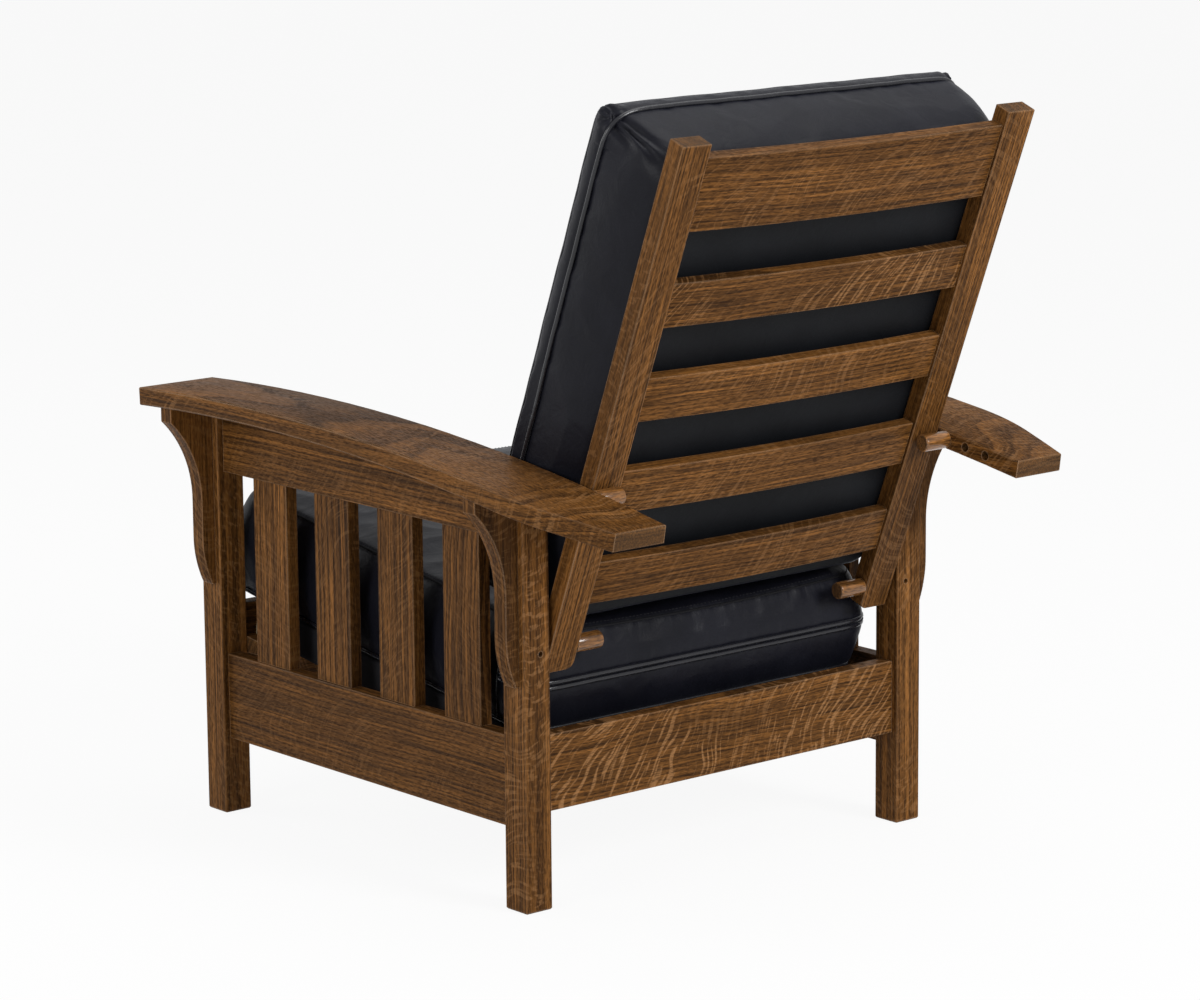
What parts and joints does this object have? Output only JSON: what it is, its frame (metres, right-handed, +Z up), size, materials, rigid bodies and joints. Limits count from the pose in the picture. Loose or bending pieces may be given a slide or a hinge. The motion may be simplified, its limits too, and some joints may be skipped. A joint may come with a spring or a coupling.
{
  "type": "mission reclining armchair",
  "caption": "Mission armchair with slatted sides, bowed arms on corbels, a pivoting slatted back held by pegs, and loose leather cushions.",
  "frame": {"origin": "on the floor at the middle of the chair's footprint box, between the arms' front ends and the tops of the back posts", "axes": "+X to the sitter's left, +Y to the rear, +Z up; the chair faces -Y"},
  "size_m": [0.877, 1.0048, 1.0666],
  "materials": {
    "fumed_oak": "satin, dark brown, open grain",
    "plain_poplar": "raw",
    "black_leather": "semi-matte, fine grain",
    "black_cloth": "plain weave",
    "pad_felt": "felted",
    "spring_steel": "oiled",
    "screw_steel": "blackened"
  },
  "bodies": {
    "base": {"leg_front_left": "fumed_oak", "leg_front_right": "fumed_oak", "corbel_front_left": "fumed_oak", "corbel_front_right": "fumed_oak", "leg_rear_left": "fumed_oak", "leg_rear_right": "fumed_oak", "corbel_rear_left": "fumed_oak", "corbel_rear_right": "fumed_oak", "side_rail_lower_left": "fumed_oak", "side_rail_lower_right": "fumed_oak", "side_rail_upper_left": "fumed_oak", "side_rail_upper_right": "fumed_oak", "side_slat_left_1": "fumed_oak", "side_slat_right_1": "fumed_oak", "side_slat_left_2": "fumed_oak", "side_slat_right_2": "fumed_oak", "side_slat_left_3": "fumed_oak", "side_slat_right_3": "fumed_oak", "side_slat_left_4": "fumed_oak", "side_slat_right_4": "fumed_oak", "arm_left": "fumed_oak", "arm_right": "fumed_oak", "pivot_pin_left": "fumed_oak", "pivot_pin_right": "fumed_oak", "front_rail": "fumed_oak", "rear_rail": "fumed_oak", "pivot_lock_screws": "screw_steel", "cleat_front": "fumed_oak", "cleat_rear": "fumed_oak", "deck_member_front": "plain_poplar", "deck_member_rear": "plain_poplar", "deck_member_left": "plain_poplar", "deck_member_right": "plain_poplar", "deck_springs": "spring_steel", "deck_spring_clips": "spring_steel", "deck_pad": "pad_felt", "deck_cover": "black_cloth", "cleat_screws": "screw_steel", "deck_screws": "screw_steel"},
    "back_frame": {"back_post_left": "fumed_oak", "back_post_right": "fumed_oak", "back_top_rail": "fumed_oak", "back_slat_1": "fumed_oak", "back_slat_2": "fumed_oak", "back_slat_3": "fumed_oak", "back_slat_4": "fumed_oak"},
    "back_rest_cushion": {"back_cushion": "black_leather"},
    "seat_rest_cushion": {"seat_cushion": "black_leather"},
    "peg_left": {"adjusting_peg_left": "fumed_oak"},
    "peg_right": {"adjusting_peg_right": "fumed_oak"}
  },
  "joints": [
    {"name": "back_tilt", "type": "hinge", "parent": "base", "child": "back_frame", "pos_m": [0, 0.22388, 0.346], "axis": [-1, 0, 0], "range_deg": [-8, 0]},
    {"name": "peg_left_pull", "type": "slide", "parent": "base", "child": "peg_left", "axis": [-1, 0, 0], "range_m": [0, 0.028]},
    {"name": "peg_right_pull", "type": "slide", "parent": "base", "child": "peg_right", "axis": [1, 0, 0], "range_m": [0, 0.028]},
    {"name": "back_cushion_lift", "type": "slide", "parent": "back_frame", "child": "back_rest_cushion", "axis": [0, 0.3657, 0.9307], "range_m": [0, 0.011]},
    {"name": "seat_cushion_pull", "type": "slide", "parent": "base", "child": "seat_rest_cushion", "axis": [0, -0.9898, 0.1426], "range_m": [0, 0.1]}
  ],
  "couplings": [
    {"joint": "back_cushion_lift", "follows": "back_tilt", "m_per_rad": -0.078}
  ]
}
